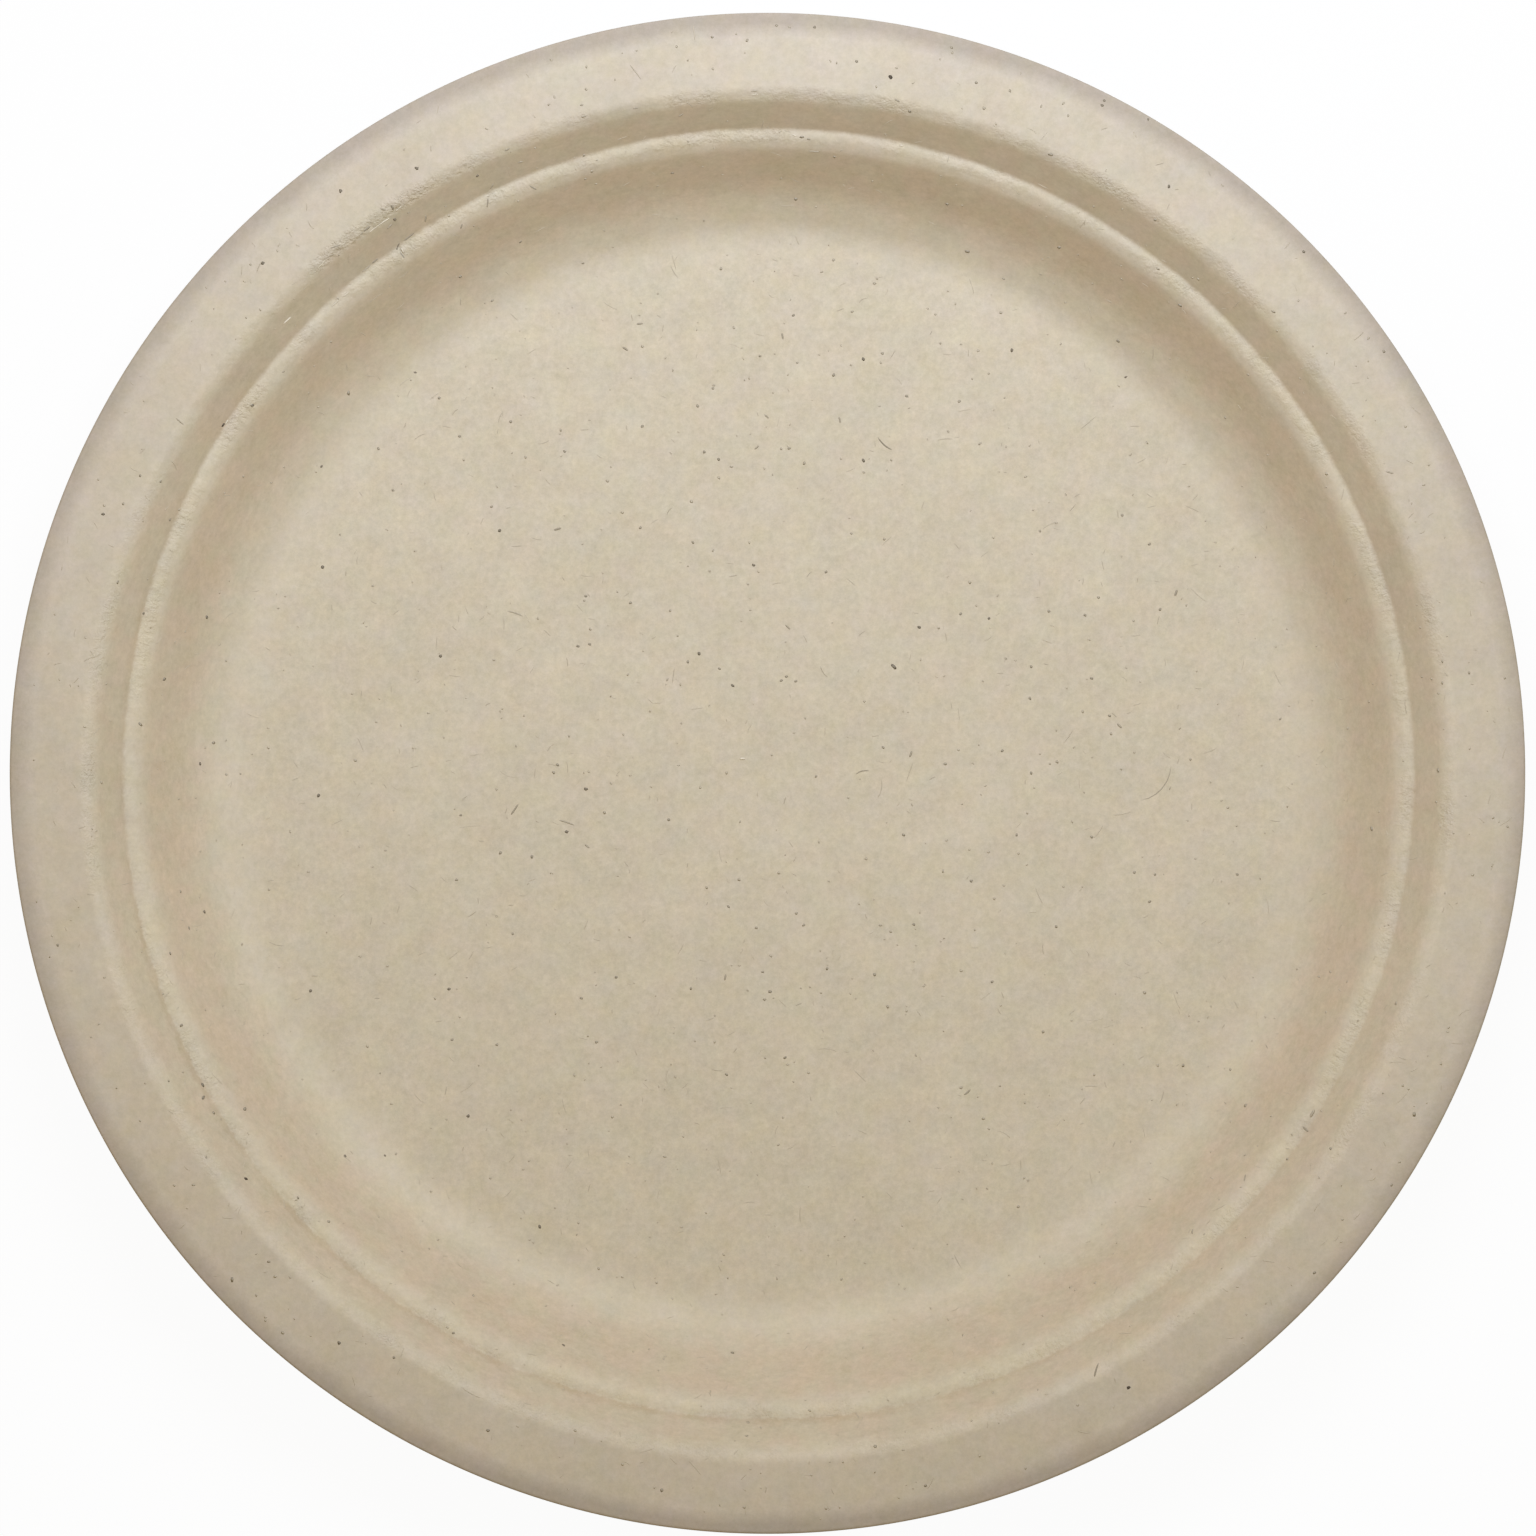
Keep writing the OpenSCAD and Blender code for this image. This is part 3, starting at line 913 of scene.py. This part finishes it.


# %% [markdown]
# ## Unbleached pulp
#
# Seen from arm's length the plate is one beige. Close to, it is mottled at every
# scale at once, from the width of a fibre to a few centimetres, and no scale stands
# out, or it would look like stone. So the mottle is noise whose octaves are nearly
# equally strong. Where the mat is paler it is also a little bluer. A slower noise
# swings the beige between yellow and grey and between pink and green. On the walls
# the fibres were dragged round by the tool, so there the mottle is drawn out along
# the wall: its place is read on a cylinder, with the radius counted three times over.
#
# The steep faces are browner and darker, partly their own colour and partly painted shade.
# The floor's bend, the ledge's crest and the shoulder are painted a shade paler as painted
# highlights, and the crease carries painted shade, deeper toward the lower left. These are
# rings, so each point of the mesh carries the radius that it has in the section. The last
# three millimetres of the rim were squeezed by the cutting edge and grow darker outward, by
# the distance from the axis. The underside dried against the wire screen and keeps its fine
# square print.

# %% Pulp material
BEIGE = linear(204, 194, 172)
YELLOWER, GREYER = linear(206, 195, 166), linear(202, 193, 174.5)
GREEN_TINT, PINK_TINT = (0.992, 1.007, 1.0, 1), (1.022, 0.993, 1.0, 1)
DULL, PALE = (0.86, 0.86, 0.83, 1), (1.14, 1.14, 1.17, 1)
WHITE = (1, 1, 1, 1)
# how strongly each noise makes the pulp paler, with more grain on the floor
CLOUD_SHARE, MOTTLE_SHARE, STREAK_SHARE = 0.2, 0.31, 0.42
GRAIN_SHARE, FLOOR_GRAIN = 0.61, 0.19
# swing between yellow and grey, less on the walls, and between green and pink, more
SWING_SHARE, WALL_CALM = 0.95, 0.25
BLUSH_SHARE, WALL_BLUSH = 1.0, 1.4
RAGGED_BY, WANDER_BY = 0.7, 0.6
# where each ring sets in and is full, where it starts to fade and is gone, its tint; some
# rings are painted light
RING_TONES_AND_PAINTED_LIGHT = [
    # painted bounce light: the floor's bend a little paler
    ((77.4, 78.8, 83.6, 84.8), (1.012, 1.013, 1.020)),
    # the well's wall browner and darker: partly its own colour, partly painted shade
    ((83.4, 89.8, 92.9, 95.9), (0.917, 0.867, 0.829)),
    # painted highlight along the ledge's crest
    ((94.8, 95.5, 96.5, 97.0), (1.020, 1.018, 1.010)),
    # the step browner and darker: partly its own colour, partly painted shade
    ((96.7, 97.5, 100.0, 102.4), (0.899, 0.862, 0.829)),
    # painted highlight along the shoulder
    ((101.7, 102.4, 103.0, 103.8), (1.035, 1.035, 1.03)),
    ((101.4, 102.4, 200, 201), (0.966, 0.962, 0.986)),
    ((109.2, 110.8, 200, 201), (1.0, 1.0, 1.03)),
]
PRESSED_TINT = (0.765, 0.750, 0.752, 1)
PRESSED_FROM, PRESSED_TO = 110.55, 113.2
PRESSED_OVAL = 0.2
# the crease's painted shade: where it lies, its tint, and where along x it is deeper still
CREASE_R, CREASE_IN, CREASE_OUT = 97.4, 0.45, 1.0
CREASE_SHADE_TINT = (0.9, 0.87, 0.83, 1)
DEEPER_SHADE_X, DEEPER_SHADE_FULL, DEEPER_SHADE_END = -16.0, 1.5, 6.0
WALL_R = 92.0

pulp = Tree(bpy.data.materials.new("moulded_pulp"))
place = pulp.place()
parts = pulp.add("ShaderNodeSeparateXYZ", {}, {0: place})
x = Value(pulp, parts.socket.node.outputs["X"])
y = Value(pulp, parts.socket.node.outputs["Y"])
from_axis = (x * x + y * y + 0.01).maths("SQRT")
under = pulp.add("ShaderNodeAttribute", {"attribute_name": "screen_side"}, output="Fac")
ring = pulp.add("ShaderNodeAttribute", {"attribute_name": "ring_radius"}, output="Fac")


def on_cylinder(radius_scale):
    """The place wrapped on a cylinder as wide as the wall. Its height is the ring
    radius times a scale, so over 1 draws a pattern out along the wall."""
    return pulp.add("ShaderNodeCombineXYZ", {}, {
        0: x / from_axis * WALL_R, 1: y / from_axis * WALL_R, 2: ring * radius_scale})


def band(rise, top, fall, foot, radius=ring):
    """0 outside a ring of the plate, 1 in it and eased at both of its borders."""
    return radius.ease(rise, top) * (1 - radius.ease(fall, foot))


clouds = pulp.noise(place, 22, 2.0)
mottle = pulp.noise(place, 5.5, 2.0, 0.85, move=31.0)
grain = pulp.noise(place, 1.0, 3.0, 0.9, move=17.0)
streaks = pulp.noise(on_cylinder(3.0), 1.8, 3.0, 0.8)
walls = band(83, 87, 93, 95.5) + band(97, 98, 100, 102.5)
level_floor = 1 - ring.ease(76, 82)
paleness = clouds * CLOUD_SHARE + mottle * MOTTLE_SHARE
paleness = paleness + streaks * walls * STREAK_SHARE
paleness = paleness + grain * (level_floor * FLOOR_GRAIN + GRAIN_SHARE)

swing = pulp.noise(place, 5.0, 4.0, 0.7, move=63.0)
blush = pulp.noise(place, 5.0, 2.0, 0.6, move=47.0)
base = pulp.colour(YELLOWER, GREYER, swing * (SWING_SHARE - walls * WALL_CALM) + 0.5)
reddening = blush * (walls * WALL_BLUSH + BLUSH_SHARE) + 0.5
base = pulp.multiplied(base, pulp.colour(GREEN_TINT, PINK_TINT, reddening))
ragged = ring + pulp.noise(place, 1.6, 3.0, 0.8, move=71.0) * RAGGED_BY
# rings of the pulp's own tone and of painted highlight and shade
for limits, tint in RING_TONES_AND_PAINTED_LIGHT:
    tone = band(*limits, radius=ragged)
    base = pulp.multiplied(base, pulp.colour(WHITE, (*tint, 1), tone))

wander = pulp.noise(place, 9.0, 2.0, move=29.0)
pressed = from_axis + wander * WANDER_BY - PRESSED_FROM
pressed = pressed / (PRESSED_TO - PRESSED_FROM)
pressed = pressed.maths("MAXIMUM", 0.0).maths("MINIMUM", 1.0)
pressed = pressed * ((y * y - x * x) / (from_axis * from_axis) * PRESSED_OVAL + 1)
base = pulp.multiplied(base, pulp.colour(WHITE, PRESSED_TINT, pressed))

# painted shade in the crease, stronger toward the lower left and deeper still near x = -16 mm
lower_left_shade = (x * -0.6 - y * 0.8).ease(-30, 80) * (wander * 1.5 + 0.7)
crease_shade = band(CREASE_R - CREASE_IN, CREASE_R, CREASE_R, CREASE_R + CREASE_OUT,
              radius=ragged)
deeper_shade = 1 - (x - DEEPER_SHADE_X).maths("ABSOLUTE").ease(DEEPER_SHADE_FULL, DEEPER_SHADE_END)
for share in (crease_shade * lower_left_shade, crease_shade * lower_left_shade * deeper_shade):
    base = pulp.multiplied(base, pulp.colour(WHITE, CREASE_SHADE_TINT, share))
pulp_colour = pulp.multiplied(base, pulp.colour(DULL, PALE, paleness + 0.5))

# %% [markdown]
# Relief finer than the grid is left to a bump: pits and pimples about a millimetre
# across, the fibre mat itself, short wrinkles where the wet mat was folded over the
# ledge's crest, crumbs there and on the shoulder, most of all at the torn place, and
# the print of the screen underneath. The wrinkles run across the fold, so their noise
# is drawn out along the radius. The heights are true ones, given in millimetres and
# turned into metres, so the bump's distance is one.

# %% Pulp relief
# heights in mm
PIT_HIGH, MAT_HIGH, WIRE_HIGH, FOLD_HIGH, TORN_HIGH = 0.012, 0.007, 0.022, 0.08, 0.09
CRUMB_SHARE = 1.4
SCREEN_GAP = 1.1
TORN_X, TORN_Y, TORN_FULL_TO, TORN_GONE_AT = -61.1, 81.1, 6, 13

pits = pulp.noise(place, 1.3, 2.0, move=5.0)
mat = pulp.noise(place, 0.4, 3.0, 0.65, move=83.0)
wrinkles = pulp.noise(on_cylinder(0.35), 0.9, 2.0, 0.6)
crumbs = pulp.noise(place, 0.8, 3.0, 0.75, move=57.0)
ledge_fold = band(94.4, 95.8, 96.8, 97.6)
folds = ledge_fold + band(100.6, 101.6, 102.6, 104.0)
patchy = (wander * 2.4 + 0.8).maths("MAXIMUM", 0.25)
from_torn = ((x - TORN_X) * (x - TORN_X) + (y - TORN_Y) * (y - TORN_Y)).maths("SQRT")
torn = 1 - from_torn.ease(TORN_FULL_TO, TORN_GONE_AT)


def screen_print(along):
    """Wires of a screen: a cosine along one axis, one wave for each gap."""
    return (along * (2 * math.pi / SCREEN_GAP)).maths("COSINE")


wires = screen_print(x) * screen_print(y) * under
height = (pits * PIT_HIGH + mat * MAT_HIGH) * (1 + under) + wires * WIRE_HIGH
folded = wrinkles * ledge_fold + crumbs * folds * CRUMB_SHARE
height = height + folded * patchy * FOLD_HIGH
height = height + crumbs * folds * torn * TORN_HIGH
bump = pulp.add("ShaderNodeBump", {}, {"Strength": 1.0, "Distance": 1.0,
                                        "Height": height * MM})
pulp_rough = 0.88 + grain * 0.05
pulp_material = pulp.finish(pulp_colour, pulp_rough, bump,
                            {"Specular IOR Level": 0.3})
plate.data.materials.append(pulp_material)

# %% [markdown]
# ## Bark and fibre
#
# Specks and fibres are dyed by the darkness that each one was given: from the pulp's
# own beige to a dark brown, and for the few fibres below zero to a cream.

# %% Fleck material
def fleck_material(name, darkest):
    """Pulp beige at darkness 0, the darkest brown at 1 and cream at -1."""
    tree = Tree(bpy.data.materials.new(name))
    place = tree.place()
    dark = tree.add("ShaderNodeAttribute", {"attribute_name": "darkness"}, output="Fac")
    grain = tree.noise(place, 0.3, 1.0)
    colour = tree.colour(BEIGE, darkest, (dark + grain * 0.06).maths("MAXIMUM", 0.0))
    cream = linear(232, 224, 204)
    colour = tree.colour(colour, cream, (dark * -1).maths("MAXIMUM", 0.0))
    rough = 0.8 + grain * 0.08
    return tree.finish(colour, rough, None, {"Specular IOR Level": 0.3})


specks.data.materials.append(fleck_material("bark", linear(58, 46, 32)))
fibres.data.materials.append(fleck_material("loose_fibre", linear(74, 60, 42)))

# %% [markdown]
# ## Make the pieces ride the plate's body
#
# The moulded shell stands for the solid, and the flecks ride with it.

# %% Ride
for piece in (plate, specks, fibres):
    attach(piece, "root")
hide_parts("plate")

# %% [markdown]
# ## Floor, lamp and sky
#
# The plate stands on a white sheet. What the camera sees of the sheet is lifted to
# white, as in the picture, but it still takes the plate's shadow.

# %% Floor
FLOOR_HALF, FLOOR_Z = 3.0, -0.0002
SHADOW_SHARE = 0.045
floor_mesh = bpy.data.meshes.new("white_sheet")
floor_corners = [(-1, -1), (1, -1), (1, 1), (-1, 1)]
floor_mesh.from_pydata(
    [(a * FLOOR_HALF, b * FLOOR_HALF, FLOOR_Z) for a, b in floor_corners], [], [(0, 1, 2, 3)])
floor = bpy.data.objects.new("white_sheet", floor_mesh)
bpy.context.scene.collection.objects.link(floor)

sheet = Tree(bpy.data.materials.new("white_sheet"))
paper = sheet.add("ShaderNodeBsdfDiffuse", {}, {"Color": linear(240, 240, 240)})
glow = sheet.add("ShaderNodeEmission", {}, {"Color": WHITE, "Strength": 1.0})
lifted = sheet.add("ShaderNodeMixShader", {}, {"Fac": SHADOW_SHARE, 1: glow, 2: paper})
looks = sheet.add("ShaderNodeMixShader", {}, {"Fac": sheet.seen(), 1: paper, 2: lifted})
sheet.add_output(looks, "ShaderNodeOutputMaterial")
floor_mesh.materials.append(sheet.owner)

# %% [markdown]
# One wide soft lamp hangs near, toward the top of the picture, so the light falls off
# visibly across the plate. A weak bluish window to the right and a weaker, bluer
# doorway at the foot of the picture reach the walls that face them.

# %% Lamps
LAMP_TILT, LAMP_TURN = 31.5, 3.5
LAMP_AWAY = 0.41
LAMP_WIDE = 0.25
LAMP_COLOUR = (0.71, 0.795, 1.0)
LAMP_LEVEL = 0.823

WINDOW_TILT, WINDOW_TURN = 55, 90
WINDOW_AWAY = 1.2
WINDOW_WIDE = 0.5
WINDOW_COLOUR = (0.6, 0.85, 1.0)
WINDOW_LEVEL = 0.04

DOORWAY_TURN = 180
DOORWAY_COLOUR = (0.15, 0.4, 1.0)
DOORWAY_LEVEL = 0.02


def add_lamp(name, tilt, turn, away, wide, colour, level):
    """A round lamp that looks at the origin, tilted from +Z toward +Y and turned
    toward +X. At level 1 it lights a level white sheet at the origin to white."""
    data = bpy.data.lights.new(name, "AREA")
    data.shape = "DISK"
    data.size = wide
    data.color = colour
    data.energy = level * (math.pi * away) ** 2 / math.cos(math.radians(tilt))
    made = bpy.data.objects.new(name, data)
    t, a = math.radians(tilt), math.radians(turn)
    made.location = Vector((math.sin(t) * math.sin(a), math.sin(t) * math.cos(a),
                            math.cos(t))) * away
    made.rotation_euler = made.location.to_track_quat("Z", "Y").to_euler()
    bpy.context.scene.collection.objects.link(made)
    print(name, [round(c, 3) for c in made.location], "watts", round(data.energy, 2))


add_lamp("soft_lamp", LAMP_TILT, LAMP_TURN, LAMP_AWAY, LAMP_WIDE, LAMP_COLOUR, LAMP_LEVEL)
add_lamp("window", WINDOW_TILT, WINDOW_TURN, WINDOW_AWAY, WINDOW_WIDE, WINDOW_COLOUR,
         WINDOW_LEVEL)
add_lamp("doorway", WINDOW_TILT, DOORWAY_TURN, WINDOW_AWAY, WINDOW_WIDE, DOORWAY_COLOUR,
         DOORWAY_LEVEL)

# %% [markdown]
# An even warm sky fills the shadows. The camera itself sees white behind the plate.

# %% Sky
SKY_COLOUR = (1.0, 0.745, 0.31)
SKY_STRENGTH = 0.376

world = bpy.data.worlds.new("sky")
bpy.context.scene.world = world
air = Tree(world)
even = air.add("ShaderNodeBackground", {}, {"Color": (*SKY_COLOUR, 1),
                                            "Strength": SKY_STRENGTH})
white = air.add("ShaderNodeBackground", {}, {"Color": WHITE, "Strength": 1.0})
both = air.add("ShaderNodeMixShader", {}, {"Fac": air.seen(), 1: even, 2: white})
air.add_output(both, "ShaderNodeOutputWorld")

bpy.context.scene.view_settings.view_transform = "Standard"

# %% [markdown]
# ## Last update
#
# The view layer is brought up to date.

# %% Update the view layer
bpy.context.view_layer.update()
